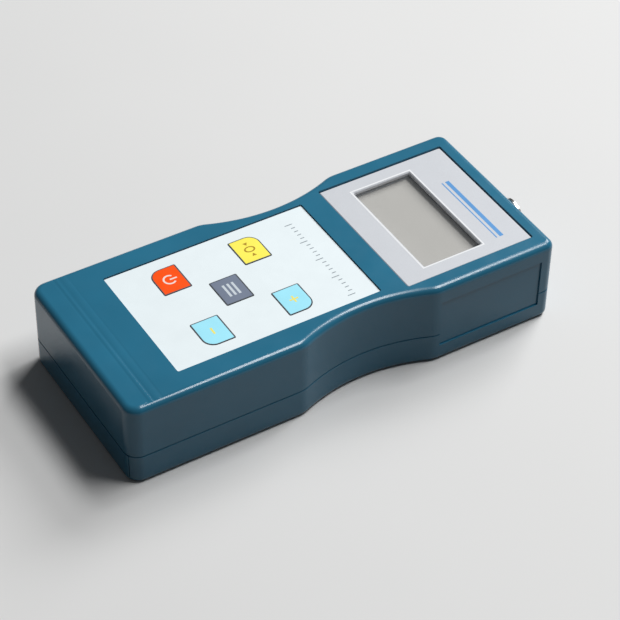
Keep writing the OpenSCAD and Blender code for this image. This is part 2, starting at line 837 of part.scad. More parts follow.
// Circuit board, narrow in the waist and wide in the head
module main_board() {
    step_y = waist_head_y + board_gap;
    color("#1f6b3a")
        translate([0, 0, board_z])
            difference() {
                linear_extrude(board_t)
                    polygon([
                        [-board_waist_hw, board_y0], [board_waist_hw, board_y0], [board_waist_hw, step_y],
                        [board_head_hw, step_y], [board_head_hw, board_y1], [-board_head_hw, board_y1],
                        [-board_head_hw, step_y], [-board_waist_hw, step_y]
                    ]);
                for (p = POSTS)
                    translate([p[0], p[1], -past])
                        cylinder(r = board_screw_r + screw_gap, h = board_t + 2 * past);
            }
}

// Screw with a flat head and a cross recess, head down
module screw(r, l, head_r, head_h) {
    slot_w = head_r / 4;
    slot_hl = head_r * 3 / 5;
    difference() {
        union() {
            translate([0, 0, -head_h])
                cylinder(r = head_r, h = head_h);
            translate([0, 0, -root_lap])
                cylinder(r = r, h = l + root_lap);
        }
        for (a = [0, 90])
            rotate([0, 0, a])
                block([-slot_hl, -slot_w / 2, -head_h - past], [slot_hl, slot_w / 2, -head_h / 2]);
    }
}

module board_screws() {
    head_r = 2 * board_screw_r;
    color("silver")
        for (p = POSTS)
            translate([p[0], p[1], board_z])
                screw(board_screw_r, board_screw_l, head_r, board_screw_head_h);
}

module case_screws() {
    color("#9a9da0")
        for (p = SCREWS)
            translate([p[0], p[1], seat_l])
                screw(screw_r, screw_l, screw_head_r, screw_head_h);
}

// Chip under the board with a row of legs along two sides
module chip(at, w, l, h, legs) {
    leg_w = 0.6;
    leg_out = 0.8;
    pitch = l / legs;
    translate([at[0], at[1], board_z])
        union() {
            block([-w / 2, -l / 2, -h], [w / 2, l / 2, 0]);
            for (i = [0:legs - 1])
                translate([0, (i + 0.5) * pitch - l / 2, 0])
                    block([-w / 2 - leg_out, -leg_w / 2, -h / 2], [w / 2 + leg_out, leg_w / 2, 0]);
        }
}

module processor() {
    color("#202224")
        chip(PROCESSOR_AT, processor_w, processor_w, processor_h, 10);
}

module amplifier() {
    color("#26282b")
        chip(AMPLIFIER_AT, amplifier_w, amplifier_l, amplifier_h, 7);
}

module crystal() {
    color("#b9bcc0")
        plate(crystal_w, crystal_l, crystal_w / 2 - least_r, crystal_y, board_z - crystal_h, board_z);
}

module capacitors() {
    color("#2c3350")
        for (x = capacitor_x)
            translate([x, capacitor_y, board_z - capacitor_h])
                cylinder(r = capacitor_r, h = capacitor_h);
}

module buzzer() {
    color("#151617")
        translate([BUZZER_AT[0], BUZZER_AT[1], board_z - buzzer_h])
            difference() {
                cylinder(r = buzzer_r, h = buzzer_h);
                translate([0, 0, -past])
                    cylinder(r = sound_hole_r, h = 2 * past);
            }
}

// Connector that the keypad's tail is pushed into
module keypad_connector() {
    hw = tail_w / 2 + tail_fit;
    hl = circuit_t / 2 + tail_fit;
    color("#ece6d2")
        translate([0, tail_y + circuit_t / 2, 0])
            difference() {
                block([-hw - connector_wall, -hl - connector_wall, board_z1],
                    [hw + connector_wall, hl + connector_wall, board_z1 + connector_h]);
                block([-hw, -hl, tail_z - tail_fit], [hw, hl, board_z1 + connector_h + past]);
            }
}

module socket_header() {
    color("#ece6d2")
        block([-header_w / 2, header_y, board_z - header_h], [header_w / 2, header_y + header_l, board_z]);
}

// Socket of turned metal: flange outside, thread for the nut inside, hole for the plug
module socket_body() {
    color("#c4c8cc")
        translate([0, 0, socket_z])
            difference() {
                union() {
                    bar_y(socket_r, 0, socket_y0, socket_y1, 0);
                    bar_y(flange_r, 0, head_y, head_y + flange_t, 0);
                }
                bar_y(insert_r, 0, socket_y0 - past, plug_y + past, 0);
                bar_y(plug_r, 0, plug_y, socket_y1 + past, 0);
            }
}

module socket_nut() {
    color("#c4c8cc")
        translate([0, head_y - wall - nut_t, socket_z])
            rotate([-90, 0, 0])
                difference() {
                    cylinder(d = nut_af / cos(30), h = nut_t, $fn = 6);
                    translate([0, 0, -past])
                        cylinder(r = socket_r + push_gap, h = nut_t + 2 * past);
                }
}

function contact_place(i) =
    [contact_circle_r * cos(45 + 90 * i), contact_circle_r * sin(45 + 90 * i)];

// Insulator with four holes for the contacts
module socket_insert() {
    color("#1c1d1f")
        difference() {
            bar_y(insert_r - push_gap, 0, plug_y - insert_l, plug_y, socket_z);
            for (i = [0:3])
                translate([contact_place(i)[0], 0, contact_place(i)[1]])
                    bar_y(contact_r + push_gap, 0, plug_y - insert_l - past, plug_y + past, socket_z);
        }
}

// Contacts with hollow ends for the plug's pins
module socket_contacts() {
    color("#c9a94a")
        for (i = [0:3])
            translate([contact_place(i)[0], 0, socket_z + contact_place(i)[1]])
                difference() {
                    bar_y(contact_r, 0, socket_y0 - contact_tail, plug_y, 0);
                    bar_y(pin_hole_r, 0, plug_y - insert_l / 2, plug_y + past, 0);
                }
}

// Four wires from the contacts to the header under the board
module socket_leads() {
    steps = 8;
    color("#d9b13c")
        for (i = [0:3]) {
            at = contact_place(i);
            a = [at[0], socket_y0 - contact_tail - lead_touch, socket_z + at[1]];
            b_z = board_z - header_h / 2 + sign(at[1]) * lead_split;
            b = [at[0], header_y + header_l + lead_touch, b_z];
            reach = [0, (a[1] - b[1]) / 2, 0];
            wire([for (t = [0:steps]) curve([a, a - reach, b + reach, b], t / steps)], fine_lead_r);
        }
}

// Cell with its positive button towards +Y, or towards -Y where turned
module battery_cell(i) {
    turned = i % 2 == 1;
    button_r = 2.7;
    button_l = 1.4;
    button_bevel = 0.3;
    can_bevel = 0.6;
    can_r = cell_d / 2;
    rim_r = can_r - can_bevel;
    y_plus = turned ? bay_y0 + contact_t + nub_gap : bay_y1 - contact_t - nub_gap;
    color("#3b3f45")
        translate([cell_x[i], y_plus, cell_z])
            rotate([turned ? -90 : 90, 0, 0])
                rotate_extrude()
                    polygon([
                        [0, 0], [button_r - button_bevel, 0], [button_r, button_bevel],
                        [button_r, button_l], [rim_r, button_l], [can_r, button_l + can_bevel],
                        [can_r, cell_l - can_bevel], [rim_r, cell_l], [0, cell_l]
                    ]);
}

module battery_cell_1() {
    battery_cell(0);
}

module battery_cell_2() {
    battery_cell(1);
}

module battery_cell_3() {
    battery_cell(2);
}

module battery_cell_4() {
    battery_cell(3);
}

// Conical coil from a contact strip to the flat end of cell i
module cell_spring(i) {
    turned = i % 2 == 1;
    turns = 2.5;
    steps = 36;
    sides = 6;
    coil_inset = 1;
    coil_step = 1.4;
    touch = 0.05;
    wide_r = contact_w / 2 - wire_r - coil_inset;
    narrow_r = wide_r - coil_step;
    y0 = turned ? bay_y1 - contact_t : bay_y0 + contact_t;
    way = turned ? -1 : 1;
    run = spring_l - 2 * wire_r - 2 * touch;
    skin([for (k = [0:steps])
        let (t = k / steps)
        let (a = way * 360 * turns * t)
        let (r = wide_r + (narrow_r - wide_r) * t)
        let (out = [cos(a), 0, sin(a)])
        let (middle = [cell_x[i], y0 + way * (wire_r + touch + run * t), cell_z] + r * out)
        [for (s = [0:sides - 1])
            let (b = s * 360 / sides)
            middle + wire_r * (cos(b) * out - way * sin(b) * [0, 1, 0])]]);
}

module cell_springs() {
    color("silver")
        for (i = [0:3])
            cell_spring(i);
}

// Flat contacts at both ends of the bay; the two single ones have tabs through its wall
module contact_strips() {
    h = contact_w / 2;
    color("silver") {
        for (x = [-cell_pitch, cell_pitch])
            block([x - cell_pitch / 2 - h, bay_y0, cell_z - h],
                [x + cell_pitch / 2 + h, bay_y0 + contact_t, cell_z + h]);
        block([-cell_pitch / 2 - h, bay_y1 - contact_t, cell_z - h],
            [cell_pitch / 2 + h, bay_y1, cell_z + h]);
        for (s = [-1, 1]) {
            block([s * 1.5 * cell_pitch - h, bay_y1 - contact_t, cell_z - h],
                [s * 1.5 * cell_pitch + h, bay_y1, cell_z + h]);
            block([s * tab_x - tab_w / 2, bay_y1 - contact_t / 2, tab_z],
                [s * tab_x + tab_w / 2, door_y1 + tab_out, tab_z + contact_t]);
        }
    }
}

// Two wires from the contact tabs to the underside of the board
module battery_leads() {
    steps = 12;
    color("#b3262a")
        for (s = [-1, 1]) {
            a = [s * tab_x, door_y1 + tab_out + lead_touch, tab_z + contact_t / 2];
            b = [s * tab_x, board_y0 + 2 * post_end, board_z - lead_touch];
            rise = b[2] - a[2];
            bends = [a, a + [0, rise, 0], b - [0, 0, rise], b];
            wire([for (t = [0:steps]) curve(bends, t / steps)], lead_r);
        }
}

front_shell();
rear_shell();
battery_door();
display_panel();
display_window();
lcd_glass();
lcd_frame();
lcd_strips();
keypad_overlay();
keypad_spacer();
keypad_circuit();
switch_domes();
key_power();
key_zero();
key_mode();
key_plus();
key_minus();
main_board();
board_screws();
processor();
amplifier();
crystal();
capacitors();
buzzer();
keypad_connector();
socket_header();
socket_body();
socket_nut();
socket_insert();
socket_contacts();
socket_leads();
battery_cell_1();
battery_cell_2();
battery_cell_3();
battery_cell_4();
cell_springs();
contact_strips();
battery_leads();
case_screws();
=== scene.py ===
import math

import bpy
from mathutils import Matrix, Quaternion, Vector


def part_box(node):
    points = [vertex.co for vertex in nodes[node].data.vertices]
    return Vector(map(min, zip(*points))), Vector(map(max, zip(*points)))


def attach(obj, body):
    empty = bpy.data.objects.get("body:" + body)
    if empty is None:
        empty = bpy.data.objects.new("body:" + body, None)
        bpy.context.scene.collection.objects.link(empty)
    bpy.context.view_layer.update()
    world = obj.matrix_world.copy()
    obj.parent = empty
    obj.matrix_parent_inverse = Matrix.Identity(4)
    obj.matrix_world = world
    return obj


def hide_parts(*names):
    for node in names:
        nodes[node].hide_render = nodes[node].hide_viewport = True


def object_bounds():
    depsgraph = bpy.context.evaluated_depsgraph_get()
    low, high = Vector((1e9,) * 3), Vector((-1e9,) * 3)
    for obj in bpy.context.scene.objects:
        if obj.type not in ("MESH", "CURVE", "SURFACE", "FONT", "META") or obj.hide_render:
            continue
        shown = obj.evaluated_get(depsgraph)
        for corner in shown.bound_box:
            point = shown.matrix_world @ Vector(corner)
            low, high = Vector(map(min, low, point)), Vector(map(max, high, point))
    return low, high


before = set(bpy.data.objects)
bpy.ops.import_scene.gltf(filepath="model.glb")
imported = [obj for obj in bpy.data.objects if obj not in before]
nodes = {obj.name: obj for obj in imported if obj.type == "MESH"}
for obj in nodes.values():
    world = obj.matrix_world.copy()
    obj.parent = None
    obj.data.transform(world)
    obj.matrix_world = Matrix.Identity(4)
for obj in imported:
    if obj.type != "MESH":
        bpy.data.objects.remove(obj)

cad_low, cad_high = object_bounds()

# Rear shell: the back half of the housing, injection moulded in blue ABS with a fine eroded grain.
# It holds the battery bay and the rails of its door, and four screws pull it against the front shell.
MM = 0.001
HOUSING_BLUE = (0.021, 0.148, 0.245)
SMOOTH_ANGLE = math.radians(32)
FLAT_ANGLE = math.radians(0.05)
WELD = 0.002 * MM
PATTERN_LOW = 0.3
PATTERN_HIGH = 0.7


def deselect():
    """Leaves nothing selected, so that an operator acts only on what is picked next."""
    if bpy.context.object and bpy.context.object.mode != "OBJECT":
        bpy.ops.object.mode_set(mode="OBJECT")
    bpy.ops.object.select_all(action="DESELECT")


def work_on(piece):
    """Makes a piece the only selected and active one."""
    deselect()
    piece.select_set(True)
    bpy.context.view_layer.objects.active = piece


def shade(piece, angle=SMOOTH_ANGLE):
    """Smooth shading across shallow edges, led by the large faces."""
    work_on(piece)
    bpy.ops.object.shade_smooth_by_angle(angle=angle)
    weighted = piece.modifiers.new("even_normals", "WEIGHTED_NORMAL")
    weighted.keep_sharp = True
    bpy.ops.object.modifier_apply(modifier=weighted.name)


def welded_copy(node, name):
    """Copy of a solid's mesh with its triangles joined up and its flat faces made whole."""
    piece = bpy.data.objects.new(name, nodes[node].data.copy())
    bpy.context.scene.collection.objects.link(piece)
    work_on(piece)
    bpy.ops.mesh.customdata_custom_splitnormals_clear()
    bpy.ops.object.mode_set(mode="EDIT")
    bpy.ops.mesh.select_all(action="SELECT")
    bpy.ops.mesh.remove_doubles(threshold=WELD)
    bpy.ops.mesh.dissolve_limited(angle_limit=FLAT_ANGLE)
    bpy.ops.object.mode_set(mode="OBJECT")
    return piece


def material(name):
    """New material: itself, its node tree, its shader and the piece's own coordinates."""
    made = bpy.data.materials.new(name)
    made.use_nodes = True
    tree = made.node_tree
    coords = tree.nodes.new("ShaderNodeTexCoord")
    return made, tree, tree.nodes["Principled BSDF"], coords.outputs["Object"]


def noise(tree, where, size_mm, detail=3.0):
    """Cloudy pattern from 0 to 1 with spots about size_mm across."""
    node = tree.nodes.new("ShaderNodeTexNoise")
    node.inputs["Scale"].default_value = 1 / (size_mm * MM)
    node.inputs["Detail"].default_value = detail
    tree.links.new(where, node.inputs["Vector"])
    return node.outputs["Fac"]


def tones(tree, shader, value, colour, change):
    """Base colour that runs a little darker and lighter with a pattern."""
    ramp = tree.nodes.new("ShaderNodeValToRGB")
    dark, light = ramp.color_ramp.elements
    dark.position = PATTERN_LOW
    light.position = PATTERN_HIGH
    dark.color = [c * (1 - change) for c in colour] + [1]
    light.color = [min(c * (1 + change), 1) for c in colour] + [1]
    tree.links.new(value, ramp.inputs["Fac"])
    tree.links.new(ramp.outputs["Color"], shader.inputs["Base Color"])
    return ramp.outputs["Color"]


def vary_roughness(tree, shader, value, low, high):
    """Roughness that follows a pattern between two values."""
    spread = tree.nodes.new("ShaderNodeMapRange")
    spread.inputs["From Min"].default_value = PATTERN_LOW
    spread.inputs["From Max"].default_value = PATTERN_HIGH
    spread.inputs["To Min"].default_value = low
    spread.inputs["To Max"].default_value = high
    tree.links.new(value, spread.inputs["Value"])
    tree.links.new(spread.outputs["Result"], shader.inputs["Roughness"])


def relief(tree, shader, height, depth_mm):
    """Fine bumps of a given depth."""
    bump = tree.nodes.new("ShaderNodeBump")
    bump.inputs["Strength"].default_value = 1.0
    bump.inputs["Distance"].default_value = depth_mm * MM
    tree.links.new(height, bump.inputs["Height"])
    tree.links.new(bump.outputs["Normal"], shader.inputs["Normal"])


def moulded_plastic(name, colour, roughness, grain_mm, depth_mm, gloss=0.5):
    """Plastic with an eroded grain, faint flow clouds and slightly uneven gloss."""
    made, tree, shader, where = material(name)
    shader.inputs["Specular IOR Level"].default_value = gloss
    tones(tree, shader, noise(tree, where, size_mm=22, detail=2.0), colour, change=0.06)
    vary_roughness(tree, shader, noise(tree, where, size_mm=6), low=roughness - 0.03, high=roughness + 0.04)
    relief(tree, shader, noise(tree, where, grain_mm, detail=2.0), depth_mm)
    return made


def dress(piece, *materials):
    """Gives a piece its materials in place of those it came with, by the numbers of its faces."""
    numbers = [face.material_index for face in piece.data.polygons]
    piece.data.materials.clear()
    for made in materials:
        piece.data.materials.append(made)
    for face, number in zip(piece.data.polygons, numbers):
        face.material_index = min(number, len(materials) - 1)


housing_plastic = moulded_plastic(
    "housing_plastic", HOUSING_BLUE, roughness=0.22, grain_mm=0.5, depth_mm=0.001, gloss=0.45
)
rear = welded_copy("rear_shell", "rear_housing")
shade(rear)
dress(rear, housing_plastic)
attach(rear, "housing")
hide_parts("rear_shell")

# Battery contacts: conical coil springs and flat strips of nickel plated spring steel.
# They are pushed into pockets at both ends of the bay, and two tabs reach through its wall.
NICKEL = (0.63, 0.63, 0.61)
COIL_ANGLE = math.radians(75)


def bright_metal(name, colour, roughness, scratch_mm, depth_mm=0.003):
    """Metal with fine drawing marks and an uneven polish."""
    made, tree, shader, where = material(name)
    shader.inputs["Metallic"].default_value = 1.0
    tones(tree, shader, noise(tree, where, size_mm=4), colour, change=0.05)
    polish = noise(tree, where, size_mm=1.5)
    vary_roughness(tree, shader, polish, low=roughness * 0.8, high=roughness * 1.25)
    relief(tree, shader, noise(tree, where, scratch_mm, detail=4.0), depth_mm)
    return made


spring_metal = bright_metal("spring_metal", NICKEL, roughness=0.26, scratch_mm=0.2)
coils = welded_copy("cell_springs", "spring_coils")
shade(coils, COIL_ANGLE)
dress(coils, spring_metal)
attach(coils, "housing")
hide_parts("cell_springs")
dress(nodes["contact_strips"], spring_metal)

# Wires: stranded leads in coloured soft insulation, red from the battery and yellow from the socket.
# They are soldered to the contact tabs, to the board and to the header.
RED_INSULATION = (0.42, 0.018, 0.016)
YELLOW_INSULATION = (0.62, 0.38, 0.03)
WIRE_ANGLE = math.radians(60)


def insulation(name, colour):
    """Soft extruded insulation with a dull, slightly wavy skin."""
    made, tree, shader, where = material(name)
    tones(tree, shader, noise(tree, where, size_mm=5), colour, change=0.12)
    vary_roughness(tree, shader, noise(tree, where, size_mm=1.2), low=0.42, high=0.58)
    relief(tree, shader, noise(tree, where, size_mm=0.6), depth_mm=0.02)
    return made


for node, name, colour in (
    ("battery_leads", "battery_wires", RED_INSULATION),
    ("socket_leads", "socket_wires", YELLOW_INSULATION),
):
    wires = welded_copy(node, name)
    shade(wires, WIRE_ANGLE)
    dress(wires, insulation(name + "_insulation", colour))
    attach(wires, "housing")
    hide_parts(node)

# Battery cells: four sealed round cells, steel cans in a plain printed shrink sleeve.
# They lie side by side in the bay with their buttons turned end for end, held by the springs.
SLEEVE_DARK = (0.018, 0.02, 0.024)
SLEEVE_BAND = (0.60, 0.30, 0.06)
CAN_STEEL = (0.60, 0.60, 0.60)
STEEL, DARK, BAND = 0, 1, 2
CELL_COUNT = 4
ROUND_SIDES = 56
BUTTON_R = 2.7 * MM
BUTTON_L = 1.4 * MM
BUTTON_EDGE = 0.3 * MM
BUTTON_FOOT = 0.8 * MM
POINT_R = 0.8 * MM
SLEEVE_LIP = 1.1 * MM
CELL_EDGE = 0.6 * MM
BAND_L = 9 * MM
END_STEP = 0.2 * MM
BASE_IN = 2.2 * MM
BASE_SLOPE = 0.22 * MM


def turned(name, centre, profile):
    """Round piece along Y, made from a circle that is drawn out and resized point by point.
    The profile gives radius and Y; the numbers of the materials of its stretches come third."""
    first_r, first_y, _ = profile[0]
    deselect()
    bpy.ops.mesh.primitive_circle_add(
        vertices=ROUND_SIDES,
        radius=first_r,
        location=(centre[0], first_y, centre[1]),
        rotation=(math.pi / 2, 0, 0),
    )
    piece = bpy.context.object
    piece.name = name
    bpy.ops.object.transform_apply(location=True, rotation=True, scale=True)
    bpy.ops.object.mode_set(mode="EDIT")
    bpy.ops.mesh.select_all(action="SELECT")
    for (r0, y0, _), (r1, y1, _) in zip(profile, profile[1:]):
        bpy.ops.mesh.extrude_edges_move(TRANSFORM_OT_translate={"value": (0, y1 - y0, 0)})
        grow = r1 / r0
        bpy.ops.transform.resize(value=(grow, 1, grow), center_override=(centre[0], y1, centre[1]))
    bpy.ops.object.mode_set(mode="OBJECT")
    for i, face in enumerate(piece.data.polygons):
        face.material_index = profile[1 + i // ROUND_SIDES][2]
    bpy.ops.object.mode_set(mode="EDIT")
    bpy.ops.mesh.select_all(action="SELECT")
    bpy.ops.mesh.remove_doubles(threshold=WELD)
    bpy.ops.mesh.fill_holes(sides=0)
    bpy.ops.mesh.select_all(action="SELECT")
    bpy.ops.mesh.normals_make_consistent(inside=False)
    bpy.ops.object.mode_set(mode="OBJECT")
    return piece


sleeve_dark = moulded_plastic("sleeve_dark", SLEEVE_DARK, roughness=0.28, grain_mm=0.9, depth_mm=0.006)
sleeve_band = moulded_plastic("sleeve_band", SLEEVE_BAND, roughness=0.28, grain_mm=0.9, depth_mm=0.006)
can_steel = bright_metal("can_steel", CAN_STEEL, roughness=0.24, scratch_mm=0.3)
cell_low, cell_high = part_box("battery_cell_1")
cell_middle = (cell_low + cell_high) / 2
can_r = (cell_high.x - cell_low.x) / 2
shoulder_y = cell_high.y - BUTTON_L
first_cell = turned("cell_1", (cell_middle.x, cell_middle.z), [
    (POINT_R, cell_low.y, STEEL),
    (can_r - BASE_IN, cell_low.y, STEEL),
    (can_r - BASE_IN + BASE_SLOPE, cell_low.y + END_STEP, STEEL),
    (can_r - SLEEVE_LIP, cell_low.y + END_STEP, STEEL),
    (can_r - SLEEVE_LIP, cell_low.y, DARK),
    (can_r - CELL_EDGE, cell_low.y, DARK),
    (can_r, cell_low.y + CELL_EDGE, DARK),
    (can_r, shoulder_y - BAND_L, DARK),
    (can_r, shoulder_y - CELL_EDGE, BAND),
    (can_r - CELL_EDGE, shoulder_y, BAND),
    (can_r - SLEEVE_LIP, shoulder_y, BAND),
    (can_r - SLEEVE_LIP, shoulder_y - END_STEP, STEEL),
    (BUTTON_R + BUTTON_FOOT, shoulder_y - END_STEP, STEEL),
    (BUTTON_R, shoulder_y + END_STEP, STEEL),
    (BUTTON_R, cell_high.y - BUTTON_EDGE, STEEL),
    (BUTTON_R - BUTTON_EDGE, cell_high.y, STEEL),
    (POINT_R, cell_high.y, STEEL),
])
dress(first_cell, can_steel, sleeve_dark, sleeve_band)
shade(first_cell)
for i in range(1, CELL_COUNT + 1):
    node = f"battery_cell_{i}"
    cell = first_cell
    if i > 1:
        other_low, other_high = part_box(node)
        cell = bpy.data.objects.new(f"cell_{i}", first_cell.data.copy())
        bpy.context.scene.collection.objects.link(cell)
        half_turn = math.pi if i % 2 == 0 else 0
        cell.matrix_world = (
            Matrix.Translation((other_low + other_high) / 2)
            @ Matrix.Rotation(half_turn, 4, "Z")
            @ Matrix.Translation(-cell_middle)
        )
        work_on(cell)
        bpy.ops.object.transform_apply(location=True, rotation=True, scale=True)
    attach(cell, "housing")
    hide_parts(node)

# Battery door: a sliding cover moulded in the same plastic, with tongues along its sides.
# It carries the lower end of the housing, and its finger grooves show which way it slides off.
door = welded_copy("battery_door", "battery_cover_plate")
shade(door)
dress(door, housing_plastic)
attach(door, "battery_cover")
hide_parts("battery_door")

# Electronics: a glass-fibre board in green solder mask with its chips, crystal, capacitors and buzzer.
# The parts are soldered to it, and four screws hang it from posts under the front wall.
BOARD_GREEN = (0.012, 0.10, 0.032)
TRACE_GREEN = (0.02, 0.19, 0.055)
CHIP_BLACK = (0.014, 0.014, 0.016)
HOLDER_BLACK = (0.02, 0.02, 0.022)
CONNECTOR_CREAM = (0.68, 0.62, 0.47)
CAPACITOR_BLUE = (0.02, 0.03, 0.085)
CRYSTAL_STEEL = (0.58, 0.59, 0.60)
SCREW_ZINC = (0.52, 0.52, 0.53)
RUBBER_LIGHT = (0.52, 0.44, 0.33)
RUBBER_DARK = (0.03, 0.03, 0.03)
LINE_START = 0.42
LINE_FULL = 0.55
WAVE_RADIANS = 20


def lined(name, dark, light, pitch_mm, roughness):
    """Surface with fine parallel lines across X, as copper tracks or rubber layers show.
    At a scale of 1 the wave pattern passes through WAVE_RADIANS in each unit of length."""
    made, tree, shader, where = material(name)
    waves = tree.nodes.new("ShaderNodeTexWave")
    waves.bands_direction = "X"
    waves.inputs["Scale"].default_value = 2 * math.pi / (WAVE_RADIANS * pitch_mm * MM)
    waves.inputs["Distortion"].default_value = 0.6
    tree.links.new(where, waves.inputs["Vector"])
    ramp = tree.nodes.new("ShaderNodeValToRGB")
    gap, line = ramp.color_ramp.elements
    gap.position = LINE_START
    line.position = LINE_FULL
    gap.color = [*dark, 1]
    line.color = [*light, 1]
    tree.links.new(waves.outputs["Fac"], ramp.inputs["Fac"])
    tree.links.new(ramp.outputs["Color"], shader.inputs["Base Color"])
    vary_roughness(tree, shader, noise(tree, where, size_mm=2), low=roughness - 0.05, high=roughness + 0.08)
    relief(tree, shader, waves.outputs["Fac"], depth_mm=0.02)
    return made


board_mask = lined("board_mask", BOARD_GREEN, TRACE_GREEN, pitch_mm=1.3, roughness=0.3)
strip_rubber = lined("strip_rubber", RUBBER_DARK, RUBBER_LIGHT, pitch_mm=0.5, roughness=0.6)
chip_moulding = moulded_plastic("chip_moulding", CHIP_BLACK, roughness=0.5, grain_mm=0.2, depth_mm=0.01)
black_moulding = moulded_plastic(
    "black_moulding", HOLDER_BLACK, roughness=0.42, grain_mm=0.3, depth_mm=0.01
)
cream_moulding = moulded_plastic(
    "cream_moulding", CONNECTOR_CREAM, roughness=0.45, grain_mm=0.3, depth_mm=0.01
)
capacitor_sleeve = moulded_plastic(
    "capacitor_sleeve", CAPACITOR_BLUE, roughness=0.3, grain_mm=0.6, depth_mm=0.006
)
crystal_can = bright_metal("crystal_can", CRYSTAL_STEEL, roughness=0.3, scratch_mm=0.3)
screw_zinc = bright_metal("screw_zinc", SCREW_ZINC, roughness=0.32, scratch_mm=0.25)
for node, made in (
    ("main_board", board_mask),
    ("processor", chip_moulding),
    ("amplifier", chip_moulding),
    ("crystal", crystal_can),
    ("capacitors", capacitor_sleeve),
    ("buzzer", black_moulding),
    ("keypad_connector", cream_moulding),
    ("socket_header", cream_moulding),
    ("board_screws", screw_zinc),
    ("lcd_frame", black_moulding),
    ("lcd_strips", strip_rubber),
):
    dress(nodes[node], made)

# Display: two glass plates with a grey-beige reflective polariser, unlit.
# It rests on its holder above the board and is pressed onto the rubber strips.
LCD_GREY = (0.388, 0.374, 0.345)
made, tree, shader, where = material("display_polariser")
tones(tree, shader, noise(tree, where, size_mm=30, detail=2.0), LCD_GREY, change=0.02)
vary_roughness(tree, shader, noise(tree, where, size_mm=8), low=0.3, high=0.36)
relief(tree, shader, noise(tree, where, size_mm=0.15, detail=2.0), depth_mm=0.002)
dress(nodes["lcd_glass"], made)

# Probe socket: a turned, nickel plated brass body with a fine thread and a flange outside.
# A hexagon nut holds it in the head's end wall; a black insert carries four gilt contacts.
SOCKET_NICKEL = (0.70, 0.70, 0.68)
CONTACT_GOLD = (0.76, 0.55, 0.22)
BARREL_R = 6 * MM
BORE_GAP = 0.05 * MM
EDGE_BREAK = 0.3 * MM
PLUG_R = 4.6 * MM
PLUG_L = 6 * MM
FLANGE_L = 1.5 * MM
NECK_L = 0.4 * MM
THREAD_START = 0.6 * MM
THREAD_PITCH = 0.8 * MM
THREAD_DEPTH = 0.42 * MM
THREAD_FLANK = 0.4 * THREAD_PITCH
THREAD_ROOT = 0.1 * THREAD_PITCH
THREAD_END = 1.6 * THREAD_PITCH
THREAD_ANGLE = math.radians(25)
socket_nickel = bright_metal("socket_nickel", SOCKET_NICKEL, roughness=0.2, scratch_mm=0.12, depth_mm=0.002)
contact_gold = bright_metal("contact_gold", CONTACT_GOLD, roughness=0.22, scratch_mm=0.15)
socket_low, socket_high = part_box("socket_body")
insert_low, insert_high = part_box("socket_insert")
socket_axis = ((socket_low.x + socket_high.x) / 2, (socket_low.z + socket_high.z) / 2)
back_y, front_y = socket_low.y, socket_high.y
flange_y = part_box("rear_shell")[1].y
flange_r = (socket_high.x - socket_low.x) / 2
bore_r = (insert_high.x - insert_low.x) / 2 + BORE_GAP
root_r = BARREL_R - THREAD_DEPTH
outside = [
    (bore_r, back_y),
    (BARREL_R - EDGE_BREAK, back_y),
    (BARREL_R, back_y + EDGE_BREAK),
    (BARREL_R, flange_y),
    (flange_r - EDGE_BREAK / 2, flange_y),
    (flange_r, flange_y + EDGE_BREAK / 2),
    (flange_r, flange_y + FLANGE_L - EDGE_BREAK),
    (flange_r - EDGE_BREAK, flange_y + FLANGE_L),
    (BARREL_R - EDGE_BREAK, flange_y + FLANGE_L),
    (BARREL_R - EDGE_BREAK, flange_y + FLANGE_L + NECK_L),
]
thread = []
turn_y = flange_y + FLANGE_L + THREAD_START
while turn_y < front_y - THREAD_END:
    thread += [
        (BARREL_R, turn_y),
        (root_r, turn_y + THREAD_FLANK),
        (root_r, turn_y + THREAD_FLANK + THREAD_ROOT),
        (BARREL_R, turn_y + 2 * THREAD_FLANK + THREAD_ROOT),
    ]
    turn_y += THREAD_PITCH
mouth = [
    (BARREL_R, front_y - EDGE_BREAK),
    (BARREL_R - EDGE_BREAK, front_y),
    (PLUG_R + EDGE_BREAK, front_y),
    (PLUG_R, front_y - EDGE_BREAK),
    (PLUG_R, front_y - PLUG_L),
    (bore_r, front_y - PLUG_L),
    (bore_r, back_y),
]
socket = turned("socket_barrel", socket_axis, [(r, y, 0) for r, y in outside + thread + mouth])
dress(socket, socket_nickel)
shade(socket, THREAD_ANGLE)
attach(socket, "housing")
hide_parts("socket_body")
for node, name, made, slot in (
    ("socket_insert", "socket_insulator", black_moulding, "black_plastic"),
    ("socket_contacts", "socket_pins", contact_gold, "contact_brass"),
    ("socket_nut", "socket_ring_nut", socket_nickel, "socket_metal"),
):
    piece = welded_copy(node, name)
    shade(piece)
    dress(piece, made)
    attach(piece, "housing")
    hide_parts(node)

# Front shell: the front half of the housing, with recesses for the keypad and the display panel.
# One moulding with a rounded front edge, a grip waist and three fine grooves near its lower end.
front = welded_copy("front_shell", "front_housing")
shade(front)
dress(front, housing_plastic)
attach(front, "housing")
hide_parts("front_shell")

# Keypad: a white printed polyester sheet glued into its recess over a spacer and a circuit film.
# Snap domes of thin steel lie in the spacer's holes, one under each key.
SHEET_WHITE = (0.77, 0.845, 0.87)
SPACER_GREY = (0.32, 0.33, 0.34)
FILM_AMBER = (0.50, 0.40, 0.22)


def printed_film(name, colour, roughness, change=0.015):
    """Printed polyester with a very fine matt texture."""
    made, tree, shader, where = material(name)
    shader.inputs["Specular IOR Level"].default_value = 0.3
    tones(tree, shader, noise(tree, where, size_mm=9, detail=2.0), colour, change)
    vary_roughness(tree, shader, noise(tree, where, size_mm=3), low=roughness - 0.04, high=roughness + 0.05)
    relief(tree, shader, noise(tree, where, size_mm=0.12, detail=2.0), depth_mm=0.004)
    return made


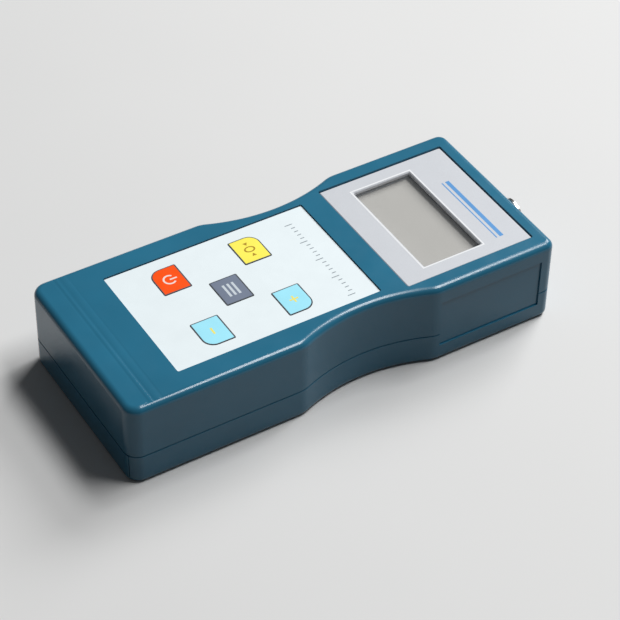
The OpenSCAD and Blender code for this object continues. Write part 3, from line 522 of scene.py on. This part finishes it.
dress(nodes["keypad_overlay"], printed_film("sheet_white", SHEET_WHITE, roughness=0.42))
dress(nodes["keypad_spacer"], printed_film("spacer_film", SPACER_GREY, roughness=0.5))
dress(nodes["keypad_circuit"], printed_film("circuit_film", FILM_AMBER, roughness=0.4))
dress(nodes["switch_domes"], spring_metal)

# Printed scale: a plain row of grey tick marks above the keys, screen printed on the sheet.
# Every fifth mark is longer, as on any rule.
SCALE_GREY = (0.26, 0.30, 0.33)
INK = 0.015 * MM
TICK_W = 0.36 * MM
TICK_L = 1.5 * MM
TICK_PITCH = 2.0 * MM
TICK_COUNT = 21
LONG_STEP = 5
LONG_EXTRA = 1.3 * MM
SCALE_X = -18.5 * MM
SCALE_Y = 9.4 * MM


def faces_up(piece, height):
    """Thickens a flat print upwards."""
    work_on(piece)
    bpy.ops.object.mode_set(mode="EDIT")
    bpy.ops.mesh.select_all(action="SELECT")
    bpy.ops.mesh.extrude_region_move(TRANSFORM_OT_translate={"value": (0, 0, height)})
    bpy.ops.mesh.select_all(action="SELECT")
    bpy.ops.mesh.normals_make_consistent(inside=False)
    bpy.ops.object.mode_set(mode="OBJECT")


def bar(name, x, y, z, w, l):
    """Flat bar of print centred on x, y."""
    deselect()
    bpy.ops.mesh.primitive_plane_add(size=1, location=(x, y, z))
    piece = bpy.context.object
    piece.name = name
    piece.scale = (w, l, 1)
    bpy.ops.object.transform_apply(location=True, rotation=True, scale=True)
    return piece


def joined(pieces):
    """Several flat prints as one piece, the first of them."""
    deselect()
    for piece in pieces:
        piece.select_set(True)
    bpy.context.view_layer.objects.active = pieces[0]
    if len(pieces) > 1:
        bpy.ops.object.join()
    return bpy.context.object


def repeat(piece, count, step):
    """Copies a print step by step in a row and joins the copies to it."""
    work_on(piece)
    row = piece.modifiers.new("row", "ARRAY")
    row.count = count
    row.use_relative_offset = False
    row.use_constant_offset = True
    row.constant_offset_displace = step
    bpy.ops.object.modifier_apply(modifier=row.name)
    return piece


sheet_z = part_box("keypad_overlay")[1].z
short_mark = bar("print_scale", SCALE_X, SCALE_Y - TICK_L / 2, sheet_z, TICK_W, TICK_L)
long_mark = bar("long_marks", SCALE_X, SCALE_Y - TICK_L - LONG_EXTRA / 2, sheet_z, TICK_W, LONG_EXTRA)
scale = joined([
    repeat(short_mark, TICK_COUNT, (TICK_PITCH, 0, 0)),
    repeat(long_mark, TICK_COUNT // LONG_STEP + 1, (LONG_STEP * TICK_PITCH, 0, 0)),
])
scale.name = "print_scale"
faces_up(scale, INK)
dress(scale, printed_film("scale_ink", SCALE_GREY, roughness=0.45, change=0.06))
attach(scale, "housing")

# Keys: five membrane keys in coloured print, each with a thin dark outline and a faintly raised field.
# The outer corner of the four outer keys is rounded. Each travels 0.4 mm towards its snap dome.
OUTLINE_W = 0.32 * MM
FIELD_W = 1.1 * MM
FIELD_RISE = 0.05 * MM
CORNER_MERGE = 0.14 * MM
NEARLY_LEVEL = 0.9
KEY_ANGLE = math.radians(40)
FIELD, OUTLINE = 0, 1
OUTLINE_INK = (0.075, 0.085, 0.10)
KEY_INKS = {
    "power": (0.95, 0.085, 0.003),
    "zero": (0.96, 0.85, 0.11),
    "mode": (0.175, 0.21, 0.285),
    "plus": (0.35, 0.78, 0.92),
    "minus": (0.35, 0.78, 0.92),
}


def pick_faces(piece, test):
    """Selects the faces of a piece that pass a test and stays in edit mode."""
    work_on(piece)
    bpy.ops.object.mode_set(mode="EDIT")
    bpy.ops.mesh.select_mode(type="FACE")
    bpy.ops.mesh.select_all(action="DESELECT")
    bpy.ops.object.mode_set(mode="OBJECT")
    for face in piece.data.polygons:
        face.select = test(face)
    bpy.ops.object.mode_set(mode="EDIT")


outline_ink = printed_film("outline_ink", OUTLINE_INK, roughness=0.4, change=0.05)
key_tops = {}
for key, ink in KEY_INKS.items():
    node = "key_" + key
    key_low, key_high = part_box(node)
    piece = welded_copy(node, key + "_key")
    dress(piece, printed_film(key + "_ink", ink, roughness=0.36, change=0.03), outline_ink)
    pick_faces(piece, lambda face: face.normal.z > NEARLY_LEVEL)
    bpy.ops.mesh.inset(thickness=OUTLINE_W)
    bpy.ops.object.mode_set(mode="OBJECT")
    for face in piece.data.polygons:
        face.material_index = FIELD if face.select or face.normal.z < -NEARLY_LEVEL else OUTLINE
    bpy.ops.object.mode_set(mode="EDIT")
    bpy.ops.mesh.remove_doubles(threshold=CORNER_MERGE)
    bpy.ops.mesh.inset(thickness=FIELD_W, depth=FIELD_RISE)
    bpy.ops.object.mode_set(mode="OBJECT")
    shade(piece, KEY_ANGLE)
    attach(piece, key + "_button")
    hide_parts(node)
    key_middle = (key_low + key_high) / 2
    key_tops[key] = Vector((key_middle.x, key_middle.y, key_high.z + FIELD_RISE))

# Key signs: plain signs printed on the keys, a power ring, a nought, three bars, a plus and a minus.
# Each is a thin layer of ink that moves with its key.
SIGN_WHITE = (0.86, 0.72, 0.66)
SIGN_BROWN = (0.42, 0.25, 0.02)
SIGN_PALE = (0.56, 0.62, 0.67)
SIGN_YELLOW = (0.85, 0.76, 0.16)
SIGN_ROUGHNESS = 0.4
STROKE = 0.62 * MM
RING_SIDES = 48
POWER_R = 2.3 * MM
POWER_GAP = math.radians(80)
POWER_BAR_L = 2.6 * MM
POWER_BAR_UP = 1.35 * MM
ZERO_R = 2.0 * MM
ZERO_SQUEEZE = 0.72
ARROW_R = 0.95 * MM
ARROW_OUT = Vector((3.0 * MM, 0, 0))
MODE_COUNT = 3
MODE_STEP = 1.7 * MM
MODE_L = 6.0 * MM
MODE_W = 0.85 * MM
PLUS_L = 3.2 * MM
MINUS_L = 3.0 * MM
MINUS_W = 1.15 * STROKE


def ring(name, centre, radius, squeeze=1.0, gap=0.0):
    """Flat ring of print, narrowed across by squeeze and left open at the top over the angle of a gap."""
    deselect()
    bpy.ops.mesh.primitive_circle_add(vertices=RING_SIDES, radius=radius, location=centre)
    piece = bpy.context.object
    piece.name = name
    bpy.ops.object.transform_apply(location=True, rotation=True, scale=True)
    bpy.ops.object.mode_set(mode="EDIT")
    bpy.ops.mesh.select_mode(type="VERT")
    if gap:
        bpy.ops.mesh.select_all(action="DESELECT")
        bpy.ops.object.mode_set(mode="OBJECT")
        for v in piece.data.vertices:
            v.select = v.co.y - centre.y > radius * math.cos(gap / 2)
        bpy.ops.object.mode_set(mode="EDIT")
        bpy.ops.mesh.delete(type="VERT")
    bpy.ops.mesh.select_all(action="SELECT")
    bpy.ops.mesh.extrude_edges_move(TRANSFORM_OT_translate={"value": (0, 0, 0)})
    inner = 1 - STROKE / radius
    bpy.ops.transform.resize(value=(inner, inner, 1), center_override=centre)
    bpy.ops.mesh.select_all(action="SELECT")
    bpy.ops.transform.resize(value=(squeeze, 1, 1), center_override=centre)
    bpy.ops.object.mode_set(mode="OBJECT")
    return piece


def arrow(name, centre, turn):
    """Flat triangle of print that points along +X, or along -X after half a turn."""
    deselect()
    bpy.ops.mesh.primitive_circle_add(
        vertices=3, radius=ARROW_R, fill_type="NGON", location=centre, rotation=(0, 0, turn - math.pi / 2)
    )
    piece = bpy.context.object
    piece.name = name
    bpy.ops.object.transform_apply(location=True, rotation=True, scale=True)
    return piece


def finish_sign(key, pieces, made):
    """Joins a sign, gives it the ink's thickness and lets it ride on its key."""
    sign = joined(pieces)
    sign.name = key + "_sign"
    faces_up(sign, INK)
    dress(sign, made)
    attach(sign, key + "_button")


at = key_tops["power"]
finish_sign("power", [
    ring("power_ring", at, POWER_R, gap=POWER_GAP),
    bar("power_bar", at.x, at.y + POWER_BAR_UP, at.z, STROKE, POWER_BAR_L),
], printed_film("sign_white", SIGN_WHITE, SIGN_ROUGHNESS))
at = key_tops["zero"]
finish_sign("zero", [
    ring("zero_ring", at, ZERO_R, squeeze=ZERO_SQUEEZE),
    arrow("zero_left", at - ARROW_OUT, 0),
    arrow("zero_right", at + ARROW_OUT, math.pi),
], printed_film("sign_brown", SIGN_BROWN, SIGN_ROUGHNESS))
at = key_tops["mode"]
first_bar = bar("mode_bar", at.x, at.y - MODE_STEP, at.z, MODE_L, MODE_W)
finish_sign("mode", [
    repeat(first_bar, MODE_COUNT, (0, MODE_STEP, 0)),
], printed_film("sign_pale", SIGN_PALE, SIGN_ROUGHNESS))
sign_yellow = printed_film("sign_yellow", SIGN_YELLOW, SIGN_ROUGHNESS)
at = key_tops["plus"]
arm = (PLUS_L - STROKE) / 2
reach = (STROKE + arm) / 2
finish_sign("plus", [
    bar("plus_bar", at.x, at.y, at.z, PLUS_L, STROKE),
    bar("plus_top", at.x, at.y + reach, at.z, STROKE, arm),
    bar("plus_foot", at.x, at.y - reach, at.z, STROKE, arm),
], sign_yellow)
at = key_tops["minus"]
finish_sign("minus", [bar("minus_bar", at.x, at.y, at.z, MINUS_L, MINUS_W)], sign_yellow)

# Display panel: a grey moulded frame, silver painted on its face and bevelled round its edges.
# It is glued into its recess. The walls of its opening are pale grey, but made paler than the silver face:
# that is painted light, which lightens their shade. A thin pale border, a painted highlight for the lit
# bevel, frames the display.
PANEL_SILVER = (0.568, 0.588, 0.622)
# The walls' grey is paler than the face: painted light that lightens the shade inside the opening.
WALL_PAINTED_LIGHT_GREY = (0.66, 0.68, 0.72)
# Pale ring round the opening: a painted highlight standing for the bevel's lit edge.
BORDER_HIGHLIGHT = (0.80, 0.815, 0.83)
PAINTED, LIGHTENED_WALL = 0, 1
PANEL_EDGE = 0.12 * MM
PANEL_ANGLE = math.radians(30)
STEEP = 0.5
BORDER_W = 0.5 * MM
SHEET_LAP = 1.4 * MM
RIM_W = 0.52 * MM


def cut_out(piece, rim):
    """Leaves only a rim of a flat print."""
    work_on(piece)
    bpy.ops.object.mode_set(mode="EDIT")
    bpy.ops.mesh.select_all(action="SELECT")
    bpy.ops.mesh.inset(thickness=rim)
    bpy.ops.mesh.delete(type="FACE")
    bpy.ops.object.mode_set(mode="OBJECT")


made, tree, shader, where = material("panel_silver")
shader.inputs["Metallic"].default_value = 0.06
shader.inputs["Specular IOR Level"].default_value = 0.3
tones(tree, shader, noise(tree, where, size_mm=0.25, detail=2.0), PANEL_SILVER, change=0.035)
vary_roughness(tree, shader, noise(tree, where, size_mm=5), low=0.42, high=0.5)
relief(tree, shader, noise(tree, where, size_mm=0.2, detail=2.0), depth_mm=0.003)
wall_painted_light = moulded_plastic("wall_painted_light", WALL_PAINTED_LIGHT_GREY, roughness=0.5, grain_mm=0.4, depth_mm=0.006)
panel = welded_copy("display_panel", "panel_frame")
work_on(panel)
rounding = panel.modifiers.new("rounded_edges", "BEVEL")
rounding.width = PANEL_EDGE
rounding.segments = 2
rounding.limit_method = "ANGLE"
rounding.angle_limit = PANEL_ANGLE
bpy.ops.object.modifier_apply(modifier=rounding.name)
shade(panel, PANEL_ANGLE)
dress(panel, made, wall_painted_light)
window_low, window_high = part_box("display_window")
# Steep faces inside the window get the paler wall grey, which is painted light.
for face in panel.data.polygons:
    in_x = window_low.x < face.center.x < window_high.x
    in_y = window_low.y < face.center.y < window_high.y
    face.material_index = LIGHTENED_WALL if in_x and in_y and abs(face.normal.z) < STEEP else PAINTED
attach(panel, "housing")
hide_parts("display_panel")
panel_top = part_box("display_panel")[1]
middle = (window_low + window_high) / 2
window_size = window_high - window_low
# A thin pale ring of print round the opening, a painted highlight where the bevel catches light.
border_out = RIM_W + BORDER_W - SHEET_LAP
border = bar(
    "display_painted_highlight",
    middle.x,
    middle.y,
    panel_top.z,
    window_size.x + 2 * border_out,
    window_size.y + 2 * border_out,
)
cut_out(border, BORDER_W)
faces_up(border, INK)
dress(border, printed_film("painted_highlight_ink", BORDER_HIGHLIGHT, roughness=0.4))
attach(border, "housing")

# Clear window: an acrylic sheet glued under the frame, so the display lies well below the face.
# It mirrors only a little. A pale mask on the rim of its underside is painted light, which lightens the
# shade under the frame's edge.
ACRYLIC_CLEAR = (0.90, 0.93, 0.95)
MASK_PAINTED_LIGHT = (0.76, 0.78, 0.82)
MASK_W = 0.9 * MM
made, tree, shader, where = material("clear_acrylic")
tones(tree, shader, noise(tree, where, size_mm=18, detail=2.0), ACRYLIC_CLEAR, change=0.02)
shader.inputs["Alpha"].default_value = 0.07
vary_roughness(tree, shader, noise(tree, where, size_mm=12), low=0.04, high=0.07)
dress(nodes["display_window"], made)
# The pale mask lightens the deep shade under the frame: painted light.
mask = bar("window_painted_light", middle.x, middle.y, window_low.z - 2 * INK, window_size.x, window_size.y)
cut_out(mask, MASK_W)
faces_up(mask, INK)
dress(mask, printed_film("painted_light_ink", MASK_PAINTED_LIGHT, roughness=0.45))
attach(mask, "housing")

# Panel stripe: two plain blue lines, screen printed above the display.
# They fill the upper field of the frame and say nothing.
STRIPE_BLUE = (0.10, 0.30, 0.62)
STRIPE_X = 5.5 * MM
STRIPE_DOWN = 8.2 * MM
STRIPE_L = 33 * MM
STRIPE_W = 1.5 * MM
THIN_DOWN = 2.0 * MM
THIN_W = 0.45 * MM
stripe_y = panel_top.y - STRIPE_DOWN
stripe = joined([
    bar("panel_stripe", STRIPE_X, stripe_y, panel_top.z, STRIPE_L, STRIPE_W),
    bar("stripe_line", STRIPE_X, stripe_y - THIN_DOWN, panel_top.z, STRIPE_L, THIN_W),
])
stripe.name = "panel_stripe"
faces_up(stripe, INK)
dress(stripe, printed_film("stripe_ink", STRIPE_BLUE, roughness=0.4, change=0.05))
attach(stripe, "housing")

# Case screws: four zinc plated screws with cross recesses, sunk into the back.
# They pass through the rear shell and are driven into the front shell's bosses.
screws = welded_copy("case_screws", "housing_screws")
shade(screws)
dress(screws, screw_zinc)
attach(screws, "housing")
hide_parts("case_screws")

# Floor and light: a plain pale table under a soft light from behind on the left.
# A long soft strip overhead draws the bright line along the rounded front edge.
# The eye and mirrored rays see the table pale; it throws less light back at the gauge.
FLOOR_PALE = (0.68, 0.68, 0.675)
FLOOR_BOUNCE = (0.20, 0.20, 0.20)
FLOOR_SIZE = 8
FLOOR_GAP = 0.05 * MM
WORLD_TINT = (0.95, 0.97, 1.0)
WORLD_STRENGTH = 0.07
deselect()
bpy.ops.mesh.primitive_plane_add(size=FLOOR_SIZE, location=(0, 0, cad_low.z - FLOOR_GAP))
floor = bpy.context.object
floor.name = "floor"
made, tree, shader, where = material("pale_table")
pale = tones(tree, shader, noise(tree, where, size_mm=120, detail=2.0), FLOOR_PALE, change=0.01)
path = tree.nodes.new("ShaderNodeLightPath")
seen = path.outputs["Is Camera Ray"]
for kind in ("Is Glossy Ray", "Is Transmission Ray"):
    either = tree.nodes.new("ShaderNodeMath")
    either.operation = "MAXIMUM"
    tree.links.new(seen, either.inputs[0])
    tree.links.new(path.outputs[kind], either.inputs[1])
    seen = either.outputs["Value"]
cover = tree.nodes.new("ShaderNodeMixRGB")
cover.inputs["Color1"].default_value = (*FLOOR_BOUNCE, 1)
tree.links.new(seen, cover.inputs["Fac"])
tree.links.new(pale, cover.inputs["Color2"])
tree.links.new(cover.outputs["Color"], shader.inputs["Base Color"])
shader.inputs["Roughness"].default_value = 0.7
shader.inputs["Specular IOR Level"].default_value = 0.2
dress(floor, made)


def soft_light(name, place, width, length, watts):
    """Rectangular lamp that faces the gauge."""
    lamp = bpy.data.lights.new(name, "AREA")
    lamp.shape = "RECTANGLE"
    lamp.size = width
    lamp.size_y = length
    lamp.energy = watts
    holder = bpy.data.objects.new(name, lamp)
    bpy.context.scene.collection.objects.link(holder)
    holder.location = place
    holder.rotation_mode = "QUATERNION"
    holder.rotation_quaternion = (-Vector(place)).to_track_quat("-Z", "Y")


soft_light("key_light", place=(-0.58, 1.46, 1.27), width=0.9, length=0.9, watts=26.0)
soft_light("edge_light", place=(0.20, 0.80, 1.82), width=1.1, length=0.50, watts=29.0)
world = bpy.data.worlds.new("studio")
bpy.context.scene.world = world
world.use_nodes = True
sky = world.node_tree.nodes["Background"]
sky.inputs["Color"].default_value = (*WORLD_TINT, 1)
sky.inputs["Strength"].default_value = WORLD_STRENGTH
bpy.context.scene.view_settings.view_transform = "Standard"

# Camera: it stands where the photograph was taken from.
# A longer lens draws the gauge nearer.
STATION = Vector((0.4854, -0.2994, 0.5305))
AIM = Vector((0.0035, 0.0035, 0.0125))
ROLL = math.radians(1.26)
SENSOR_MM = 36
LENS_MM = 134
NEAREST = 0.01
FARTHEST = 50
lens = bpy.data.cameras.new("camera")
lens.sensor_width = SENSOR_MM
lens.lens = LENS_MM
lens.clip_start = NEAREST
lens.clip_end = FARTHEST
camera = bpy.data.objects.new("camera", lens)
bpy.context.scene.collection.objects.link(camera)
camera.location = STATION
camera.rotation_mode = "QUATERNION"
camera.rotation_quaternion = (AIM - STATION).to_track_quat("-Z", "Y") @ Quaternion((0, 0, 1), ROLL)
bpy.context.scene.camera = camera

# Nothing is left selected at the end.
deselect()
